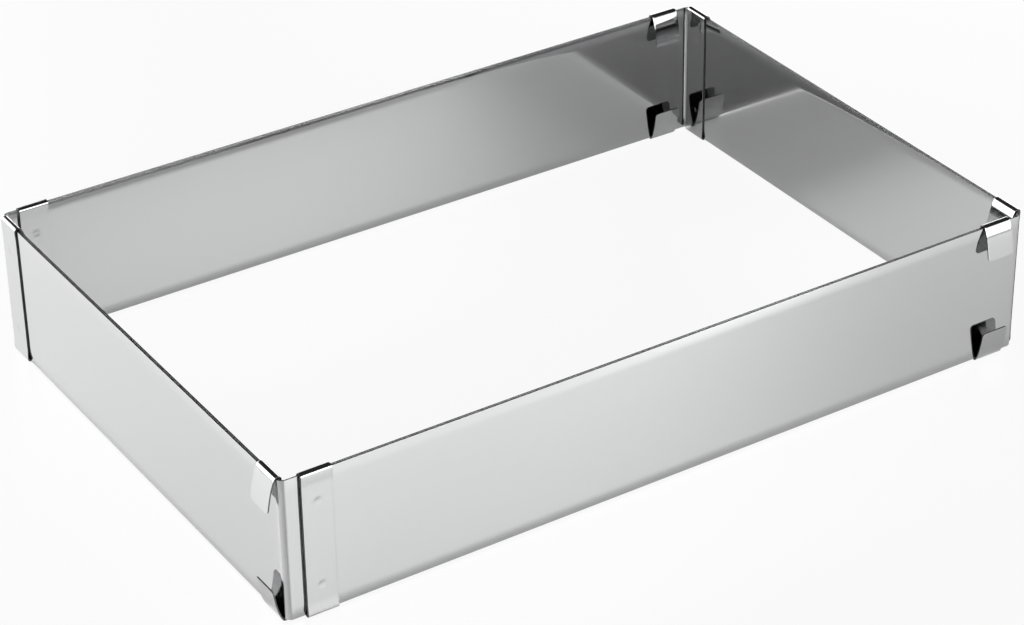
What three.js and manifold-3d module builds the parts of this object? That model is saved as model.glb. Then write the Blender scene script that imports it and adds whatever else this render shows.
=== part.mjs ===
// Adjustable cake frame: four L-shaped sheet-steel plates that overlap along every wall, each carrying
// two identical folded clips. A clip is spot-welded near the free end of an arm and hooks over the top and
// bottom edges of the neighbouring plate, so that the frame slides longer and wider without coming apart.
// Units are millimetres, +Z is up, and the origin is the centre of the footprint on the worktop.
import * as THREE from "three";
import { mergeVertices } from "three/addons/utils/BufferGeometryUtils.js";
import Module from "manifold-3d";

// Frame, measured over the outer plates as the frame stands pushed together
const frameLength = 280;
const frameWidth = 190;

// Plates
const plateHeight = 50;
const plateThickness = 0.5;
const slideGap = 0.25; // between the two plates of a wall
const bendRadius = 2.5; // outside of the corner bend
const bendClearance = 0.12; // between an inner plate's end and the inside of its neighbour's bend
const lengthwiseReserve = 3.95; // how far the long walls still are from fully shut

// Clips
const clipWidth = 10.5;
const clipThickness = 0.5;
const weldGap = 0.05; // between a clip's strip and the plate that it is welded to
const clipEdgeGap = 0.25; // over and under the plates
const foldInsideRadius = 0.65;
const leastFoldFlat = 0.3; // between the two rounds of a fold, where the frame stands on it
const bulgeLength = 4; // stretch over which the strip leaves the plate to form the fold
const flapUpperRun = 3.2; // from the fold to the flap's bend
const flapLowerRun = 8.5; // from the bend to the flap's free end
const flapUpperLean = 32; // degrees from upright
const flapLowerLean = 8; // degrees from upright
const flapCornerRadius = 1.2;

// Spot welds, which show as shallow dishes in a clip's strip
const weldEdgeDistance = 10; // from the plate's upper or lower edge
const weldDiameter = 3;
const weldFloorDiameter = 1.5;
const weldDepth = 0.12;

// Facets
const bendSteps = 10;
const foldSteps = 6;
const bulgeSteps = 5;
const flapSteps = 6;
const cornerSteps = 5;
const weldSides = 16;

// Worked out from the sizes above
const layerPitch = plateThickness + slideGap;
const wallThickness = plateThickness + layerPitch;
const plateBottom = clipThickness + clipEdgeGap;
const midHeight = plateBottom + plateHeight / 2;
const bendRoom = bendRadius - plateThickness - bendClearance; // from the middle of a bend
const bendEntry = Math.sqrt(Math.max(0, bendRoom ** 2 - (bendRadius - layerPitch) ** 2));
const shortInset = layerPitch + bendRadius - bendEntry; // a shut inner plate ends inside its neighbour's bend
const longInset = shortInset + lengthwiseReserve;
const foldRadius = foldInsideRadius + clipThickness / 2; // to the middle of the clip's thickness
const foldCornerGap = clipEdgeGap / 4; // left at the plates' corners inside the fold
const stripFace = -weldGap - clipThickness; // outer face of a clip's strip, from its plate

// Bright rolled stainless steel
function steel(roughness) {
  return new THREE.MeshStandardMaterial({ color: 0xc9cbcd, roughness, metalness: 1 });
}

const plateRoughness = 0.14;
const clipRoughness = 0.18;

const wasm = await Module();
wasm.setup();

// A closed geometry as a solid for cutting
function solidFrom(geometry) {
  const bare = geometry.clone();
  bare.deleteAttribute("normal");
  bare.deleteAttribute("uv");
  const merged = mergeVertices(bare, 1e-4);
  return new wasm.Manifold(
    new wasm.Mesh({
      numProp: 3,
      vertProperties: merged.attributes.position.array,
      triVerts: new Uint32Array(merged.index.array),
    }),
  );
}

// A solid back as a geometry
function geometryFrom(solid) {
  const mesh = solid.getMesh();
  const geometry = new THREE.BufferGeometry();
  geometry.setAttribute("position", new THREE.BufferAttribute(mesh.vertProperties, 3));
  geometry.setIndex(new THREE.BufferAttribute(mesh.triVerts, 1));
  geometry.computeVertexNormals();
  return geometry;
}

// An L-shaped plate in plan, its outside corner at the origin and its arms along +X and +Y
function plateGeometry(armX, armY) {
  const inside = bendRadius - plateThickness;
  const outline = new THREE.Shape();
  outline.moveTo(armX, 0);
  outline.lineTo(armX, plateThickness);
  outline.lineTo(bendRadius, plateThickness);
  outline.absarc(bendRadius, bendRadius, inside, 1.5 * Math.PI, Math.PI, true);
  outline.lineTo(plateThickness, armY);
  outline.lineTo(0, armY);
  outline.lineTo(0, bendRadius);
  outline.absarc(bendRadius, bendRadius, bendRadius, Math.PI, 1.5 * Math.PI, false);
  return new THREE.ExtrudeGeometry(outline, {
    depth: plateHeight,
    bevelEnabled: false,
    curveSegments: bendSteps,
  });
}

// Points at even steps along a curve, with the curve's direction there
function sampled(curve, steps) {
  return Array.from({ length: steps + 1 }, (_, i) => ({
    at: curve.getPoint(i / steps),
    along: curve.getTangent(i / steps),
  }));
}

// The upper half of a clip's section, as samples of the middle of its thickness.
// X runs through the wall from the strip to the flap, and is 0 on the face of the plate that carries the
// strip; Y is the height above the middle of the plates.
function clipMidline() {
  const plateTop = plateHeight / 2;
  const stripX = stripFace + clipThickness / 2;
  const foldCentre = plateTop + clipEdgeGap - foldInsideRadius;
  const cornerReach = foldInsideRadius - foldCornerGap;
  const cornerRun = Math.sqrt(cornerReach ** 2 - (plateTop - foldCentre) ** 2);
  const nearCentre = Math.min(cornerRun, (wallThickness - leastFoldFlat) / 2);
  const farCentre = wallThickness - nearCentre;
  const foldX = nearCentre - foldRadius;
  const upperLean = THREE.MathUtils.degToRad(flapUpperLean);
  const lowerLean = THREE.MathUtils.degToRad(flapLowerLean);

  const bulgeFoot = new THREE.Vector2(stripX, foldCentre - bulgeLength);
  const bulgeHead = new THREE.Vector2(foldX, foldCentre);
  const bulge = new THREE.CubicBezierCurve(
    bulgeFoot,
    new THREE.Vector2(stripX, foldCentre - bulgeLength / 2),
    new THREE.Vector2(foldX, foldCentre - bulgeLength / 2),
    bulgeHead,
  );
  const rise = new THREE.EllipseCurve(
    nearCentre, foldCentre, foldRadius, foldRadius, Math.PI, Math.PI / 2, true,
  );
  const fall = new THREE.EllipseCurve(
    farCentre, foldCentre, foldRadius, foldRadius, Math.PI / 2, upperLean, true,
  );

  // The flap leaves the fold at one lean and ends at another, curving where the two lines cross
  const leaning = (from, run, lean) =>
    new THREE.Vector2(from.x + run * Math.sin(lean), from.y - run * Math.cos(lean));
  const flapFoot = fall.getPoint(1);
  const flapBend = leaning(flapFoot, flapUpperRun, upperLean);
  const flapTip = leaning(flapBend, flapLowerRun, lowerLean);
  const flap = new THREE.QuadraticBezierCurve(flapFoot, flapBend, flapTip);

  return [
    ...sampled(bulge, bulgeSteps),
    ...sampled(rise, foldSteps).slice(1),
    ...sampled(fall, foldSteps),
    ...sampled(flap, flapSteps).slice(1),
  ];
}

// The clip as one folded strip, from its free end back along +Z, with the corners of its flaps rounded
// and the dishes of its two spot welds pressed in
function clipGeometry() {
  const midline = clipMidline();
  const side = (reach) =>
    midline.map(({ at, along }) =>
      new THREE.Vector2(at.x - along.y * reach, at.y + along.x * reach),
    );
  const mirrored = (points) => points.map((p) => new THREE.Vector2(p.x, -p.y));
  const outer = side(clipThickness / 2);
  const inner = side(-clipThickness / 2);
  const section = new THREE.Shape([
    ...outer,
    ...[...inner].reverse(),
    ...mirrored(inner),
    ...mirrored(outer).reverse(),
  ]);
  let clip = solidFrom(
    new THREE.ExtrudeGeometry(section, { depth: clipWidth, bevelEnabled: false }),
  );

  const flapEnd = Math.min(outer.at(-1).y, inner.at(-1).y);
  const flapReach = Math.max(outer.at(-1).x, inner.at(-1).x);
  for (const end of [-1, 1]) {
    for (const edge of [-1, 1]) {
      clip = clip.subtract(flapCornerCutter(end, edge, flapEnd, flapReach));
    }
    clip = clip.subtract(weldCutter(end * (plateHeight / 2 - weldEdgeDistance)));
  }
  return geometryFrom(clip);
}

// What is cut from one corner of a flap: a square less the quarter round that stays.
// It is drawn with X in from the flap's side edge and Y up from its free end.
function flapCornerCutter(end, edge, flapEnd, flapReach) {
  const margin = clipThickness;
  const start = wallThickness;
  const radius = flapCornerRadius;
  const corner = new THREE.Shape();
  corner.moveTo(-margin, -margin);
  corner.lineTo(radius, -margin);
  corner.lineTo(radius, 0);
  corner.absarc(radius, radius, radius, 1.5 * Math.PI, Math.PI, true);
  corner.lineTo(-margin, radius);
  const placed = corner.getPoints(cornerSteps).map((p) => {
    const fromStart = clipWidth / 2 + edge * (clipWidth / 2 - p.x);
    return new THREE.Vector2(-fromStart, end * (flapEnd + p.y));
  });
  const cutter = new THREE.ExtrudeGeometry(new THREE.Shape(placed), {
    depth: flapReach - start + margin,
    bevelEnabled: false,
  });
  cutter.rotateY(Math.PI / 2);
  cutter.translate(start, 0, 0);
  return solidFrom(cutter);
}

// The dish of one spot weld, at a height from the middle of the strip's outer face
function weldCutter(height) {
  const radius = weldDiameter / 2;
  const dish = new THREE.LatheGeometry(
    [
      new THREE.Vector2(0, -weldDepth),
      new THREE.Vector2(weldFloorDiameter / 2, -weldDepth),
      new THREE.Vector2(radius, 0),
      new THREE.Vector2(radius, weldDepth),
      new THREE.Vector2(0, weldDepth),
    ],
    weldSides,
  );
  dish.rotateZ(Math.PI / 2);
  dish.translate(stripFace, height, clipWidth / 2);
  return solidFrom(dish);
}

const sharedClip = clipGeometry();

// A clip at the free end of an arm: turn is the clip's heading about Z, 0 with its flaps towards +X
function placedClip(name, x, y, turn) {
  const clip = new THREE.Mesh(sharedClip, steel(clipRoughness));
  clip.name = name;
  clip.rotation.x = Math.PI / 2;
  const holder = new THREE.Group();
  holder.position.set(x, y, midHeight);
  holder.rotation.z = turn;
  holder.add(clip);
  return holder;
}

// One corner of the frame, in a frame of its own that is turned into place about the origin.
// Its arm along +X is the inner plate of that wall, and its arm along +Y is the outer plate of the other.
function corner(names, turn, wallAlongX, wallAlongY) {
  const halfX = wallAlongX.length / 2;
  const halfY = wallAlongY.length / 2;
  const cornerX = -halfX;
  const cornerY = -halfY + layerPitch;
  const innerEnd = halfX - wallAlongX.inset;
  const outerEnd = halfY - wallAlongY.inset;

  const plate = new THREE.Mesh(
    plateGeometry(innerEnd - cornerX, outerEnd - cornerY),
    steel(plateRoughness),
  );
  plate.name = names.plate;
  plate.position.set(cornerX, cornerY, plateBottom);

  const group = new THREE.Group();
  group.add(plate);
  group.add(placedClip(names.innerClip, innerEnd, cornerY + plateThickness, -Math.PI / 2));
  group.add(placedClip(names.outerClip, cornerX, outerEnd, 0));
  group.rotation.z = turn;
  return group;
}

const longWall = { length: frameLength, inset: longInset };
const shortWall = { length: frameWidth, inset: shortInset };
const corners = [
  { plate: "front_left_plate", innerClip: "front_wall_clip_right", outerClip: "left_wall_clip_back" },
  { plate: "front_right_plate", innerClip: "right_wall_clip_back", outerClip: "front_wall_clip_left" },
  { plate: "back_right_plate", innerClip: "back_wall_clip_left", outerClip: "right_wall_clip_front" },
  { plate: "back_left_plate", innerClip: "left_wall_clip_front", outerClip: "back_wall_clip_right" },
];

const cakeFrame = new THREE.Group();
corners.forEach((names, quarter) => {
  const alongX = quarter % 2 === 0 ? longWall : shortWall;
  const alongY = quarter % 2 === 0 ? shortWall : longWall;
  cakeFrame.add(corner(names, (quarter * Math.PI) / 2, alongX, alongY));
});

export default cakeFrame;
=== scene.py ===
import math

import bpy
from mathutils import Matrix, Vector


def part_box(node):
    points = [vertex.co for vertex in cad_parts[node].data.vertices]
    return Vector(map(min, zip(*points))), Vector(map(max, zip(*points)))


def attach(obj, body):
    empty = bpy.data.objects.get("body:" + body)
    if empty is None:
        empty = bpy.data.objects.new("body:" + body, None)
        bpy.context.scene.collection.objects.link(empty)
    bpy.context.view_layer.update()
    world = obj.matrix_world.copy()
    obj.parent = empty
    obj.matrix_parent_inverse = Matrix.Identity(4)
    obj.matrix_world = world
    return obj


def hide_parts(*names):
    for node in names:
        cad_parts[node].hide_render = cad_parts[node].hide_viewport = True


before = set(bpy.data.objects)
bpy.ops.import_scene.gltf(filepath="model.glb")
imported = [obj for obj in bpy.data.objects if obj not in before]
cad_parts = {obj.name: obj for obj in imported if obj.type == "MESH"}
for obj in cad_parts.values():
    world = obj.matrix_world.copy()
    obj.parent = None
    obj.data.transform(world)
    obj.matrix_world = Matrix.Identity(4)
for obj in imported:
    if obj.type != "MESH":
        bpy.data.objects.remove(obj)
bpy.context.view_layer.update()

# Sheet sizes, in metres
PLATE_SHEET = 0.0005
SLIDE_GAP = 0.00025
BEND_RADIUS = 0.0025  # outside of a corner bend
WALL = 2 * PLATE_SHEET + SLIDE_GAP  # two plates that slide along each other
EDGE_ROUND = 0.00006  # sheared edges, tumbled smooth

# Clip sizes, in metres and degrees
CLIP_WIDTH = 0.0105
CLIP_SHEET = 0.0005
WELD_GAP = 0.00005  # between a strip and its plate
CLIP_EDGE_GAP = 0.00025  # over and under the plates
FOLD_INSIDE_RADIUS = 0.00065
FOLD_CORNER_GAP = CLIP_EDGE_GAP / 4  # from a fold's inside to the corner of a plate's edge
BULGE_LENGTH = 0.004  # on which a strip moves away from its plate towards a fold
FLAP_UPPER_RUN = 0.0032  # from the fold to the middle of the flap's curve
FLAP_LOWER_RUN = 0.0085  # from there to its tip
FLAP_UPPER_LEAN = 32
FLAP_LOWER_LEAN = 8
FLAP_CORNER_RADIUS = 0.0012

# Spot welds in a clip's strip, in metres and in shares of a weld's radius
WELD_EDGE_DISTANCE = 0.010  # from the plate's upper or lower edge
WELD_DIAMETER = 0.003
WELD_DEPTH = 0.00012
WELD_FLOOR = 0.35  # where the pressed floor starts to rise
HEAT_START = 0.6  # where the heat tint starts to fade
HEAT_END = 1.7

# Bowing of the thin plates, in metres
WAVE_HEIGHT = 0.00005
WAVE_LENGTH = 0.090
WAVE_FADE = 0.040  # a wave dies out over this length towards a plate's ends
WAVE_SEED_STEP = 3.7  # sets each plate's waves apart from the last one's

# Steel, with linear colours
STEEL_TONE = (0.57, 0.572, 0.575, 1.0)
PLATE_ROUGHNESS = 0.07
CLIP_ROUGHNESS = 0.09
ROLLING_LINES = (14.0, 2600.0, 1.0)  # per metre, along and across the sheet
SMEARS = 38.0  # per metre
GRAIN = 5200.0  # per metre
TONE_SPREAD = 0.035
ROUGHNESS_SPREAD = 0.03
RIM_PAINTED_SHADE = 0.2  # share of the steel's tone on a sheared edge, darkened as painted shade of the gaps between the layers
RIM_ROUGHNESS = 0.25
BEND_DULLNESS = 0.35  # added roughness in the middle of a corner bend
WELD_TONE = (0.475, 0.472, 0.465, 1.0)
WELD_TINT = 0.2  # share of that tone in a weld
WELD_DULLNESS = 0.03  # added roughness in a weld
LINE_RELIEF = 0.7
GRAIN_RELIEF = 0.3
RELIEF_STRENGTH = 0.06
RELIEF_DEPTH = 0.00001

# Mesh density, in metres, counts and degrees
PLATE_ROW = 0.005
PLATE_COLUMNS = 13
CLIP_ROW = 0.001
CLIP_FINE_ROW = 0.00035  # along the welds
CLIP_COLUMNS = 31
BEND_STEPS = 16
FOLD_STEPS = 12
BULGE_STEPS = 10
FLAP_STEPS = 20
CORNER_STEPS = 8
CORNER_SPARE = 1.2  # corner radii from a flap's tip to the first of its even rows
EDGE_STEPS = 2
EDGE_ANGLE = 50  # sharper edges are rounded
SMOOTH_ANGLE = 25  # sharper edges split the shading
JOIN_DISTANCE = 1e-6  # joins the faces of a sheet at its rim
LEAST_FADE = 1e-6  # keeps a fade from having no length

# Camera, fitted to the photograph's 1024 by 625 frame
IMAGE_WIDTH = 1024
FOCAL_PIXELS = 3189.9
SENSOR_WIDTH = 36.0
CAMERA_AZIMUTH = -32.371
CAMERA_ELEVATION = 31.376
CAMERA_ROLL = -0.917
CAMERA_DISTANCE = 1.0958
CAMERA_TARGET = Vector((0.01091, 0.01660, 0.00075))
CAMERA_NEAR = 0.01  # nothing closer is drawn

# Softboxes by azimuth as the camera's, distance, height, the cloth's width and height, and watts
SOFTBOXES = {
    "left_softbox": (-150.0, 0.92, 0.32, 1.7, 0.6, 9.3),
    "high_left_softbox": (-94.0, 0.68, 0.58, 1.1, 0.8, 5.2),
    "front_softbox": (10.0, 0.85, 0.36, 0.80, 0.62, 5.3),
    "right_softbox": (54.0, 0.87, 0.22, 0.9, 0.40, 2.1),
    "back_right_softbox": (118.0, 0.95, 0.17, 1.4, 0.30, 4.3),
}
LAMP_AIM = Vector((0.0, 0.0, 0.02))

# Studio around the table
WHITE = (1.0, 1.0, 1.0, 1.0)
STUDIO_LEVEL = 0.03  # strength overhead
STUDIO_WALL_LEVEL = 0.50  # strength near the ground
STUDIO_WALL_RISE = 0.35  # sine of the elevation where the walls' light ends

# Table top
FLOOR_SIDE = 2.4
FLOOR_TONE = (0.62, 0.62, 0.62, 1.0)
FLOOR_GLOSS = 0.42  # share of the gloss
GLOSS_TONE = (0.9, 0.9, 0.9, 1.0)
GLOSS_ROUGHNESS = 0.36
PAPER_SHARE = 0.92  # of the floor's look to the camera that is plain white, all of it at the edge
PAPER_FADE = 0.5  # from the middle of the floor, where the shadows end and the share grows
MIRRORED_PAPER_SHARE = 0.25  # of the floor's look in the steel that is plain white
ONE_MIRROR = 1.5  # glossy depth between one mirror on a ray's way and two

# Spacing of a tree's nodes in the editor
NODE_STEP = 180
NODE_ROW = -220
NODES_IN_ROW = 12

# Each plate with its body and the corner of its box that its bend is at, as signs of X and Y
PLATES = {
    "front_left_plate": ("front_left_corner", -1, -1),
    "front_right_plate": ("front_right_corner", 1, -1),
    "back_right_plate": ("back_right_corner", 1, 1),
    "back_left_plate": ("back_left_corner", -1, 1),
}

# Each clip with its body and the way its flaps face, in degrees about Z from +X
CLIPS = {
    "front_wall_clip_left": ("front_right_corner", 90),
    "front_wall_clip_right": ("front_left_corner", -90),
    "right_wall_clip_front": ("back_right_corner", 180),
    "right_wall_clip_back": ("front_right_corner", 0),
    "back_wall_clip_right": ("back_left_corner", -90),
    "back_wall_clip_left": ("back_right_corner", 90),
    "left_wall_clip_back": ("front_left_corner", 0),
    "left_wall_clip_front": ("back_left_corner", 180),
}


# Paths of the sheets, drawn flat along the middle of their thickness

def spaced(start, end, step):
    """Points from start to end, no further apart than step, without the last."""
    count = max(1, math.ceil((end - start).length / step))
    return [start.lerp(end, i / count) for i in range(count)]


def arc(centre, radius, start, end, steps):
    """Points on an arc between two angles in degrees, both ends among them."""
    turns = [math.radians(start + (end - start) * i / steps) for i in range(steps + 1)]
    return [centre + radius * Vector((math.cos(a), math.sin(a))) for a in turns]


def leaning(run, lean):
    """A step down a flap that leans out by an angle in degrees from upright."""
    return run * Vector((math.sin(math.radians(lean)), -math.cos(math.radians(lean))))


def rounded_end(tip, inward):
    """Points near a sheet's free end, close enough together for its rounded corners."""
    turns = [math.pi / 2 * i / CORNER_STEPS for i in range(CORNER_STEPS + 1)]
    return [tip + inward * FLAP_CORNER_RADIUS * (1 - math.cos(a)) for a in turns]


def plate_path(node, sign_x, sign_y):
    """An L in plan, walked with the frame's outside on the right, and the run to mid bend."""
    low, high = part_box(node)
    corner = Vector((high.x if sign_x > 0 else low.x, high.y if sign_y > 0 else low.y))
    far = Vector((low.x if sign_x > 0 else high.x, low.y if sign_y > 0 else high.y))
    inset = PLATE_SHEET / 2
    middle = corner - Vector((sign_x, sign_y)) * inset
    centre = corner - Vector((sign_x, sign_y)) * BEND_RADIUS
    radius = BEND_RADIUS - inset
    end_x = Vector((far.x, middle.y))
    end_y = Vector((middle.x, far.y))
    bend_x = Vector((centre.x, middle.y))
    bend_y = Vector((middle.x, centre.y))
    if sign_x == sign_y:
        first, bend_in, bend_out, last = end_y, bend_y, bend_x, end_x
    else:
        first, bend_in, bend_out, last = end_x, bend_x, bend_y, end_y
    start = math.degrees(math.atan2(*(bend_in - centre).yx))
    bend = arc(centre, radius, start, start + 90, BEND_STEPS)
    bend_place = (bend_in - first).length + radius * math.pi / 4
    arm_in = spaced(first, bend_in, PLATE_ROW)
    arm_out = spaced(bend_out, last, PLATE_ROW)
    return arm_in + bend + arm_out[1:] + [last], bend_place


def clip_path(plate_height):
    """A clip from its upper flap's tip over the fold, down the strip and back, flaps towards +X."""
    plate_top = plate_height / 2
    fold_radius = FOLD_INSIDE_RADIUS + CLIP_SHEET / 2
    fold_height = plate_top + CLIP_EDGE_GAP - FOLD_INSIDE_RADIUS
    corner_reach = FOLD_INSIDE_RADIUS - FOLD_CORNER_GAP
    inset = math.sqrt(corner_reach**2 - (plate_top - fold_height) ** 2)
    near = Vector((inset, fold_height))
    far = Vector((WALL - inset, fold_height))
    shoulder = near - Vector((fold_radius, 0))
    strip = Vector((-WELD_GAP - CLIP_SHEET / 2, fold_height - BULGE_LENGTH))

    fall = arc(far, fold_radius, FLAP_UPPER_LEAN, 90, FOLD_STEPS)
    foot = fall[0]
    bend = foot + leaning(FLAP_UPPER_RUN, FLAP_UPPER_LEAN)
    tip = bend + leaning(FLAP_LOWER_RUN, FLAP_LOWER_LEAN)
    flap = rounded_end(tip, (bend - tip).normalized())
    for i in range(FLAP_STEPS):
        t = i / FLAP_STEPS
        place = tip.lerp(bend, t).lerp(bend.lerp(foot, t), t)
        if (place - tip).length > CORNER_SPARE * FLAP_CORNER_RADIUS:
            flap.append(place)
    rise = arc(near, fold_radius, 90, 180, FOLD_STEPS)
    bulge = []
    for i in range(1, BULGE_STEPS + 1):
        t = i / BULGE_STEPS
        share = t * t * (3 - 2 * t)
        across = shoulder.x + (strip.x - shoulder.x) * share
        bulge.append(Vector((across, shoulder.y - BULGE_LENGTH * t)))
    upper = flap + fall + rise + bulge

    weld = plate_top - WELD_EDGE_DISTANCE
    upper_stops = [strip.y, weld + WELD_DIAMETER, weld - WELD_DIAMETER]
    stops = upper_stops + [-y for y in reversed(upper_stops)]
    rows = [CLIP_ROW, CLIP_FINE_ROW, CLIP_ROW, CLIP_FINE_ROW, CLIP_ROW]
    straight = []
    for top, bottom, row in zip(stops, stops[1:], rows):
        straight += spaced(Vector((strip.x, top)), Vector((strip.x, bottom)), row)
    lower = [Vector((p.x, -p.y)) for p in reversed(upper)]
    return upper + straight[1:] + lower


# Node trees

class Tree:
    """A geometry or shader tree under construction."""

    def __init__(self, tree):
        self.tree = tree
        self.count = 0

    def node(self, kind, settings=None, **inputs):
        """A new node, its properties set and its inputs linked or filled in by label."""
        made = self.tree.nodes.new(kind)
        self.count += 1
        row, column = divmod(self.count, NODES_IN_ROW)
        made.location = (NODE_STEP * column, NODE_ROW * row)
        for name, value in (settings or {}).items():
            setattr(made, name, value)
        for name, value in inputs.items():
            self.fill(made.inputs[name.replace("_", " ")], value)
        return made

    def fill(self, target, value):
        """Links a socket or a node's first output to an input, or sets the input's own value."""
        if isinstance(value, bpy.types.NodeSocket):
            self.tree.links.new(value, target)
        elif isinstance(value, bpy.types.Node):
            self.tree.links.new(value.outputs[0], target)
        else:
            target.default_value = value

    def math(self, operation, first, second=0.0, third=0.0):
        made = self.node("ShaderNodeMath", {"operation": operation})
        for target, value in zip(made.inputs, (first, second, third)):
            self.fill(target, value)
        return made.outputs[0]

    def length(self, vector):
        made = self.node("ShaderNodeVectorMath", {"operation": "LENGTH"})
        self.fill(made.inputs[0], vector)
        return made.outputs["Value"]

    def scaled(self, vector, scale):
        made = self.node("ShaderNodeVectorMath", {"operation": "SCALE"}, Scale=scale)
        self.fill(made.inputs[0], vector)
        return made.outputs["Vector"]

    def smooth(self, value, low, high, low_result=0.0, high_result=1.0):
        """A smooth step from one result to another between two values."""
        made = self.node("ShaderNodeMapRange", {"interpolation_type": "SMOOTHSTEP"})
        for target, part in zip(made.inputs, (value, low, high, low_result, high_result)):
            self.fill(target, part)
        return made.outputs["Result"]

    def mixed_colour(self, blend, factor, first, second):
        """A second colour mixed into a first."""
        settings = {"data_type": "RGBA", "blend_type": blend}
        made = self.node("ShaderNodeMix", settings, Factor=factor)
        colours = [s for s in made.inputs if s.type == "RGBA"]
        self.fill(colours[0], first)
        self.fill(colours[1], second)
        return next(s for s in made.outputs if s.type == "RGBA")

    def mixed_shader(self, factor, first, second):
        """A second shader mixed into a first."""
        made = self.node("ShaderNodeMixShader", Fac=factor)
        self.fill(made.inputs[1], first)
        self.fill(made.inputs[2], second)
        return made

    def stored(self, geometry, name, value, kind="FLOAT", domain="POINT"):
        """The geometry with a value kept on it under a name, for the finish."""
        settings = {"data_type": kind, "domain": domain}
        return self.node(
            "GeometryNodeStoreNamedAttribute", settings, Geometry=geometry, Name=name, Value=value
        )

    def attribute(self, name):
        return self.node("ShaderNodeAttribute", {"attribute_name": name}).outputs["Fac"]


SHEET_INPUTS = {
    "Sheet width": "NodeSocketFloat",
    "Columns": "NodeSocketInt",
    "Thickness": "NodeSocketFloat",
    "Corner radius": "NodeSocketFloat",
    "Wave height": "NodeSocketFloat",
    "Wave length": "NodeSocketFloat",
    "Wave fade": "NodeSocketFloat",
    "Wave seed": "NodeSocketFloat",
    "Bend place": "NodeSocketFloat",
    "Bend length": "NodeSocketFloat",
    "Weld distance": "NodeSocketFloat",
    "Weld diameter": "NodeSocketFloat",
    "Weld depth": "NodeSocketFloat",
    "Place": "NodeSocketVector",
    "Turn": "NodeSocketVector",
    "Finish": "NodeSocketMaterial",
}


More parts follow.
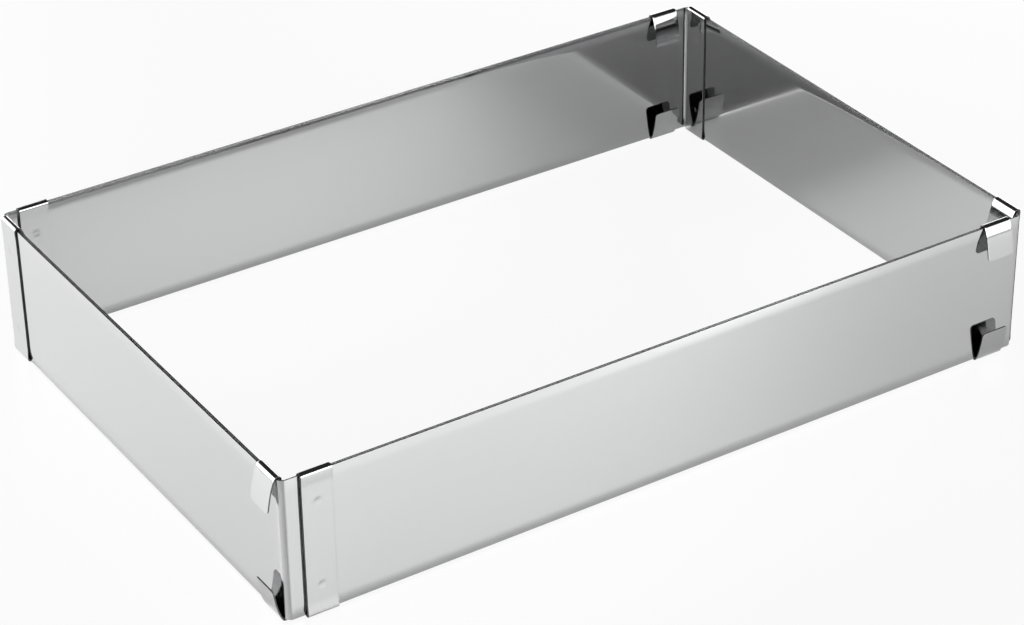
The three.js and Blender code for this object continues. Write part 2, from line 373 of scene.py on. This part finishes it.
def folded_sheet_tree():
    """Sweeps a sheet along a path, rounds its corners, bows and thickens it and presses its welds."""
    group = bpy.data.node_groups.new("Folded sheet", "GeometryNodeTree")
    group.interface.new_socket("Path", in_out="INPUT", socket_type="NodeSocketGeometry")
    for name, kind in SHEET_INPUTS.items():
        group.interface.new_socket(name, in_out="INPUT", socket_type=kind)
    group.interface.new_socket("Sheet", in_out="OUTPUT", socket_type="NodeSocketGeometry")
    tree = Tree(group)
    given = tree.node("NodeGroupInput").outputs
    half_width = tree.math("MULTIPLY", given["Sheet width"], 0.5)

    path = tree.node("GeometryNodeMeshToCurve", Mesh=given["Path"])
    path = tree.node("GeometryNodeSetCurveNormal", {"mode": "Z_UP"}, Curve=path)
    along = tree.node("GeometryNodeCaptureAttribute", Geometry=path)
    along.capture_items.new("FLOAT", "Run")
    along.capture_items.new("FLOAT", "Whole run")
    tree.fill(along.inputs["Run"], tree.node("GeometryNodeSplineParameter").outputs["Length"])
    tree.fill(along.inputs["Whole run"], tree.node("GeometryNodeSplineLength").outputs["Length"])
    run = along.outputs["Run"]
    whole_run = along.outputs["Whole run"]

    low_end = tree.node("ShaderNodeCombineXYZ", Y=tree.math("MULTIPLY", half_width, -1.0))
    high_end = tree.node("ShaderNodeCombineXYZ", Y=half_width)
    profile = tree.node("GeometryNodeCurvePrimitiveLine", Start=low_end, End=high_end)
    profile = tree.node("GeometryNodeResampleCurve", Curve=profile, Count=given["Columns"])
    surface = tree.node(
        "GeometryNodeCurveToMesh", Curve=along.outputs["Geometry"], Profile_Curve=profile
    )

    # Free corners: towards an end the sheet narrows on a quarter round
    from_end = tree.math("MINIMUM", run, tree.math("SUBTRACT", whole_run, run))
    radius = given["Corner radius"]
    left_over = tree.math("MAXIMUM", tree.math("SUBTRACT", radius, from_end), 0.0)
    radius_squared = tree.math("POWER", radius, 2.0)
    left_over_squared = tree.math("POWER", left_over, 2.0)
    chord_squared = tree.math("SUBTRACT", radius_squared, left_over_squared)
    chord = tree.math("SQRT", tree.math("MAXIMUM", chord_squared, 0.0))
    narrowed = tree.math("ADD", tree.math("SUBTRACT", half_width, radius), chord)
    share = tree.math("DIVIDE", narrowed, half_width)
    place = tree.node("ShaderNodeSeparateXYZ", Vector=tree.node("GeometryNodeInputPosition"))
    height = place.outputs["Z"]
    moved = tree.node(
        "ShaderNodeCombineXYZ",
        X=place.outputs["X"],
        Y=place.outputs["Y"],
        Z=tree.math("MULTIPLY", height, share),
    )
    surface = tree.node("GeometryNodeSetPosition", Geometry=surface, Position=moved)

    # Bowing of the sheet, which dies out towards its ends
    blank = tree.node("ShaderNodeCombineXYZ", X=run, Y=height)
    noise = tree.node(
        "ShaderNodeTexNoise",
        {"noise_dimensions": "4D"},
        Vector=blank,
        W=given["Wave seed"],
        Scale=tree.math("DIVIDE", 1.0, given["Wave length"]),
        Detail=0.0,
    )
    swing = tree.math("MULTIPLY", tree.math("SUBTRACT", noise.outputs[0], 0.5), 2.0)
    swing = tree.math("MULTIPLY", swing, tree.smooth(from_end, 0.0, given["Wave fade"]))
    swing = tree.math("MULTIPLY", swing, given["Wave height"])
    half_down = tree.math("MULTIPLY", given["Thickness"], -0.5)
    normal = tree.node("GeometryNodeInputNormal")
    shift = tree.scaled(normal, tree.math("ADD", swing, half_down))
    surface = tree.node("GeometryNodeSetPosition", Geometry=surface, Offset=shift)

    # Where each point is on the flat blank, and how near to the corner bend and to a weld
    surface = tree.stored(surface, "UVMap", blank, "FLOAT2", "CORNER")
    from_bend = tree.math("ABSOLUTE", tree.math("SUBTRACT", run, given["Bend place"]))
    bend_half = tree.math("MULTIPLY", given["Bend length"], 0.5)
    bend_end = tree.math("ADD", bend_half, LEAST_FADE)
    surface = tree.stored(surface, "bend", tree.smooth(from_bend, 0.0, bend_end, 1.0, 0.0))
    half_run = tree.math("MULTIPLY", whole_run, 0.5)
    from_middle = tree.math("ABSOLUTE", tree.math("SUBTRACT", run, half_run))
    from_weld = tree.math("SUBTRACT", from_middle, given["Weld distance"])
    weld_reach = tree.length(tree.node("ShaderNodeCombineXYZ", X=from_weld, Y=height))
    weld_radius = tree.math("MULTIPLY", given["Weld diameter"], 0.5)
    heat_start = tree.math("MULTIPLY", weld_radius, HEAT_START)
    heat_end = tree.math("MULTIPLY", weld_radius, HEAT_END)
    heat = tree.smooth(weld_reach, heat_start, heat_end, 1.0, 0.0)
    surface = tree.stored(surface, "weld_heat", heat)

    # Thickness: the outer face is pushed out, the rim follows and the inner face closes the body
    pushed = tree.node(
        "GeometryNodeExtrudeMesh",
        {"mode": "FACES"},
        Mesh=surface,
        Offset_Scale=given["Thickness"],
        Individual=False,
    )
    outer = tree.stored(pushed.outputs["Mesh"], "rim", pushed.outputs["Side"], domain="FACE")
    weld_floor = tree.math("MULTIPLY", weld_radius, WELD_FLOOR)
    weld_edge = tree.math("ADD", weld_radius, LEAST_FADE)
    dish = tree.smooth(weld_reach, weld_floor, weld_edge, 1.0, 0.0)
    dish = tree.math("MULTIPLY", dish, given["Weld depth"])
    pressed = tree.scaled(tree.node("GeometryNodeInputNormal"), tree.math("MULTIPLY", dish, -1.0))
    outer = tree.node(
        "GeometryNodeSetPosition",
        Geometry=outer,
        Selection=pushed.outputs["Top"],
        Offset=pressed,
    )
    inner = tree.node("GeometryNodeFlipFaces", Mesh=surface)
    joined = tree.node("GeometryNodeJoinGeometry")
    for side in (inner, outer):
        tree.fill(joined.inputs[0], side)
    closed = tree.node("GeometryNodeMergeByDistance", Geometry=joined, Distance=JOIN_DISTANCE)
    shaded = tree.node("GeometryNodeSetShadeSmooth", Geometry=closed)
    placed = tree.node(
        "GeometryNodeTransform",
        Geometry=shaded,
        Translation=given["Place"],
        Rotation=given["Turn"],
    )
    whole = tree.node("GeometryNodeRealizeInstances", Geometry=placed)
    finished = tree.node("GeometryNodeSetMaterial", Geometry=whole, Material=given["Finish"])
    tree.node("NodeGroupOutput", Sheet=finished)
    return group


def sheet_piece(name, path, sheet_tree, sizes):
    """A piece made by the tree from a path, with its sheared edges rounded, as a plain mesh."""
    line = bpy.data.meshes.new(name + "_path")
    links = [(i, i + 1) for i in range(len(path) - 1)]
    line.from_pydata([(p.x, p.y, 0.0) for p in path], links, [])
    maker = bpy.data.objects.new(name + "_maker", line)
    bpy.context.scene.collection.objects.link(maker)
    fold = maker.modifiers.new("Folded sheet", "NODES")
    fold.node_group = sheet_tree
    for item in sheet_tree.interface.items_tree:
        if item.in_out == "INPUT" and item.name in sizes:
            fold[item.identifier] = sizes[item.name]
    edges = maker.modifiers.new("Rounded edges", "BEVEL")
    edges.width = EDGE_ROUND
    edges.segments = EDGE_STEPS
    edges.limit_method = "ANGLE"
    edges.angle_limit = math.radians(EDGE_ANGLE)
    ready = maker.evaluated_get(bpy.context.evaluated_depsgraph_get())
    mesh = bpy.data.meshes.new_from_object(ready)
    mesh.name = name
    bpy.data.objects.remove(maker)
    bpy.data.meshes.remove(line)
    mesh.set_sharp_from_angle(angle=math.radians(SMOOTH_ANGLE))
    piece = bpy.data.objects.new(name, mesh)
    bpy.context.scene.collection.objects.link(piece)
    return piece


# Finishes

def steel(name, roughness, bend_dullness=0.0, weld_marks=False):
    """Bright cold-rolled stainless sheet: a near mirror with rolling lines, smears and cut edges,
    whose colour is darkened with painted shade.
    """
    material = bpy.data.materials.new(name)
    material.use_nodes = True
    tree = Tree(material.node_tree)
    shader = material.node_tree.nodes["Principled BSDF"]
    shader.inputs["Metallic"].default_value = 1.0
    coordinates = tree.node("ShaderNodeTexCoord").outputs
    space = coordinates["Object"]
    blank = tree.node("ShaderNodeMapping", Vector=coordinates["UV"], Scale=ROLLING_LINES)
    lines = tree.node("ShaderNodeTexNoise", Vector=blank, Scale=1.0, Detail=3.0, Roughness=0.6)
    smears = tree.node("ShaderNodeTexNoise", Vector=space, Scale=SMEARS, Detail=2.0, Roughness=0.5)
    grain = tree.node("ShaderNodeTexNoise", Vector=space, Scale=GRAIN, Detail=1.0)
    lines, smears, grain = (pattern.outputs[0] for pattern in (lines, smears, grain))
    rim = tree.attribute("rim")

    tone = tree.math("MULTIPLY_ADD", lines, TONE_SPREAD, 1.0 - TONE_SPREAD / 2)
    # Sheared edges: the steel's colour is darkened there with painted shade of the gaps between the
    # layers
    rim_painted_shade = tree.math("MULTIPLY_ADD", rim, RIM_PAINTED_SHADE - 1.0, 1.0)
    tone = tree.math("MULTIPLY", tone, rim_painted_shade)
    colour = tree.mixed_colour("MULTIPLY", 1.0, STEEL_TONE, tone)
    rough = tree.math("MULTIPLY_ADD", lines, ROUGHNESS_SPREAD, roughness - ROUGHNESS_SPREAD)
    rough = tree.math("MULTIPLY_ADD", smears, ROUGHNESS_SPREAD, rough)
    rough = tree.math("MULTIPLY_ADD", rim, RIM_ROUGHNESS - roughness, rough)
    if bend_dullness:
        rough = tree.math("MULTIPLY_ADD", tree.attribute("bend"), bend_dullness, rough)
    if weld_marks:
        heat = tree.attribute("weld_heat")
        rough = tree.math("MULTIPLY_ADD", heat, WELD_DULLNESS, rough)
        tint = tree.math("MULTIPLY", heat, WELD_TINT)
        colour = tree.mixed_colour("MIX", tint, colour, WELD_TONE)
    relief = tree.math("MULTIPLY", grain, GRAIN_RELIEF)
    relief = tree.math("MULTIPLY_ADD", lines, LINE_RELIEF, relief)
    bump = tree.node(
        "ShaderNodeBump", Strength=RELIEF_STRENGTH, Distance=RELIEF_DEPTH, Height=relief
    )
    tree.fill(shader.inputs["Base Color"], colour)
    tree.fill(shader.inputs["Roughness"], rough)
    tree.fill(shader.inputs["Normal"], bump)
    return material


# Pieces

def make_plates(sheet_tree, finish):
    """The four corner plates, each bent to the box of its CAD node."""
    for seed, (node, (body, sign_x, sign_y)) in enumerate(PLATES.items()):
        low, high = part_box(node)
        path, bend_place = plate_path(node, sign_x, sign_y)
        sizes = {
            "Sheet width": high.z - low.z,
            "Columns": PLATE_COLUMNS,
            "Thickness": PLATE_SHEET,
            "Wave height": WAVE_HEIGHT,
            "Wave length": WAVE_LENGTH,
            "Wave fade": WAVE_FADE,
            "Wave seed": WAVE_SEED_STEP * seed,
            "Bend place": bend_place,
            "Bend length": (BEND_RADIUS - PLATE_SHEET / 2) * math.pi / 2,
            "Place": (0.0, 0.0, (low.z + high.z) / 2),
            "Finish": finish,
        }
        piece = sheet_piece(node + "_sheet", path, sheet_tree, sizes)
        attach(piece, body)
        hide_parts(node)


def make_clips(sheet_tree, finish):
    """The eight clips, one folded strip turned and set at the box of each CAD node."""
    plate_low, plate_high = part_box("front_left_plate")
    plate_height = plate_high.z - plate_low.z
    path = clip_path(plate_height)
    strip_side = min(p.x for p in path) - CLIP_SHEET / 2
    for node, (body, heading) in CLIPS.items():
        low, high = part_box(node)
        ahead = Matrix.Rotation(math.radians(heading), 2) @ Vector((1.0, 0.0))
        middle = (low + high) / 2
        half_depth = abs((high - low).to_2d().dot(ahead)) / 2
        start = middle.to_2d() - ahead * (half_depth + strip_side)
        sizes = {
            "Sheet width": CLIP_WIDTH,
            "Columns": CLIP_COLUMNS,
            "Thickness": CLIP_SHEET,
            "Corner radius": FLAP_CORNER_RADIUS,
            "Wave length": WAVE_LENGTH,
            "Weld distance": plate_height / 2 - WELD_EDGE_DISTANCE,
            "Weld diameter": WELD_DIAMETER,
            "Weld depth": WELD_DEPTH,
            "Place": (start.x, start.y, middle.z),
            "Turn": (math.pi / 2, 0.0, math.radians(heading)),
            "Finish": finish,
        }
        piece = sheet_piece(node + "_strip", path, sheet_tree, sizes)
        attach(piece, body)
        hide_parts(node)


# Stage

def make_camera():
    """A camera that frames the object as the photograph does."""
    azimuth = math.radians(CAMERA_AZIMUTH)
    elevation = math.radians(CAMERA_ELEVATION)
    roll = math.radians(CAMERA_ROLL)
    back = Vector((
        math.sin(azimuth) * math.cos(elevation),
        -math.cos(azimuth) * math.cos(elevation),
        math.sin(elevation),
    ))
    level = Vector((math.cos(azimuth), math.sin(azimuth), 0.0))
    upright = back.cross(level)
    right = level * math.cos(roll) + upright * math.sin(roll)
    up = upright * math.cos(roll) - level * math.sin(roll)
    turn = Matrix((right, up, back)).transposed().to_4x4()
    data = bpy.data.cameras.new("photo_camera")
    data.sensor_width = SENSOR_WIDTH
    data.lens = FOCAL_PIXELS * SENSOR_WIDTH / IMAGE_WIDTH
    data.clip_start = CAMERA_NEAR
    camera = bpy.data.objects.new("photo_camera", data)
    camera.matrix_world = Matrix.Translation(CAMERA_TARGET + back * CAMERA_DISTANCE) @ turn
    bpy.context.scene.collection.objects.link(camera)
    bpy.context.scene.camera = camera


def make_softbox(name, azimuth, distance, height, cloth_width, cloth_height, power):
    """A rectangular lamp at an azimuth as the camera's, aimed at the object."""
    data = bpy.data.lights.new(name, "AREA")
    data.shape = "RECTANGLE"
    data.size = cloth_width
    data.size_y = cloth_height
    data.energy = power
    lamp = bpy.data.objects.new(name, data)
    side = Vector((math.sin(math.radians(azimuth)), -math.cos(math.radians(azimuth)), 0.0))
    lamp.location = side * distance + Vector((0.0, 0.0, height))
    aim = LAMP_AIM - lamp.location
    lamp.rotation_euler = aim.to_track_quat("-Z", "Y").to_euler()
    lamp.visible_camera = False
    bpy.context.scene.collection.objects.link(lamp)


def make_floor():
    """A white half-gloss table top, which the camera sees as white paper with a light shadow.

    The steel mirrors the lit table top with a share of the white, and steel that is seen in
    other steel mirrors the lit table top alone.
    """
    half = FLOOR_SIDE / 2
    mesh = bpy.data.meshes.new("table_top")
    corners = [(-half, -half, 0.0), (half, -half, 0.0), (half, half, 0.0), (-half, half, 0.0)]
    mesh.from_pydata(corners, [], [(0, 1, 2, 3)])
    floor = bpy.data.objects.new("table_top", mesh)
    bpy.context.scene.collection.objects.link(floor)
    material = bpy.data.materials.new("white_table_top")
    material.use_nodes = True
    material.node_tree.nodes.clear()
    tree = Tree(material.node_tree)
    matt = tree.node("ShaderNodeBsdfDiffuse", Color=FLOOR_TONE)
    gloss = tree.node("ShaderNodeBsdfAnisotropic", Color=GLOSS_TONE, Roughness=GLOSS_ROUGHNESS)
    lit = tree.mixed_shader(FLOOR_GLOSS, matt, gloss)
    paper = tree.node("ShaderNodeEmission", Color=WHITE, Strength=1.0)
    ray = tree.node("ShaderNodeLightPath").outputs
    from_middle = tree.length(tree.node("ShaderNodeTexCoord").outputs["Object"])
    share = tree.smooth(from_middle, PAPER_FADE, half, PAPER_SHARE, 1.0)
    seen = tree.math("MULTIPLY", ray["Is Camera Ray"], share)
    mirrored = tree.math("MAXIMUM", ray["Is Glossy Ray"], ray["Is Transmission Ray"])
    one_mirror = tree.math("LESS_THAN", ray["Glossy Depth"], ONE_MIRROR)
    mirrored = tree.math("MULTIPLY", mirrored, one_mirror)
    mirrored = tree.math("MULTIPLY", mirrored, MIRRORED_PAPER_SHARE)
    surface = tree.mixed_shader(tree.math("MAXIMUM", seen, mirrored), lit, paper)
    tree.node("ShaderNodeOutputMaterial", Surface=surface)
    mesh.materials.append(material)


def make_surroundings():
    """White to the camera, and to everything else a dim studio with pale walls near the ground."""
    world = bpy.data.worlds.new("studio")
    bpy.context.scene.world = world
    world.use_nodes = True
    world.node_tree.nodes.clear()
    tree = Tree(world.node_tree)
    direction = tree.node("ShaderNodeTexCoord").outputs["Generated"]
    rise = tree.node("ShaderNodeSeparateXYZ", Vector=direction).outputs["Z"]
    studio = tree.smooth(rise, 0.0, STUDIO_WALL_RISE, STUDIO_WALL_LEVEL, STUDIO_LEVEL)
    seen = tree.node("ShaderNodeLightPath").outputs["Is Camera Ray"]
    strength = tree.math("MAXIMUM", seen, studio)
    light = tree.node("ShaderNodeBackground", Color=WHITE, Strength=strength)
    tree.node("ShaderNodeOutputWorld", Surface=light)


make_camera()
folded_sheet = folded_sheet_tree()
make_plates(folded_sheet, steel("plate_steel", PLATE_ROUGHNESS, bend_dullness=BEND_DULLNESS))
make_clips(folded_sheet, steel("clip_steel", CLIP_ROUGHNESS, weld_marks=True))
make_floor()
make_surroundings()
for lamp_name, setting in SOFTBOXES.items():
    make_softbox(lamp_name, *setting)
bpy.context.scene.view_settings.view_transform = "Standard"
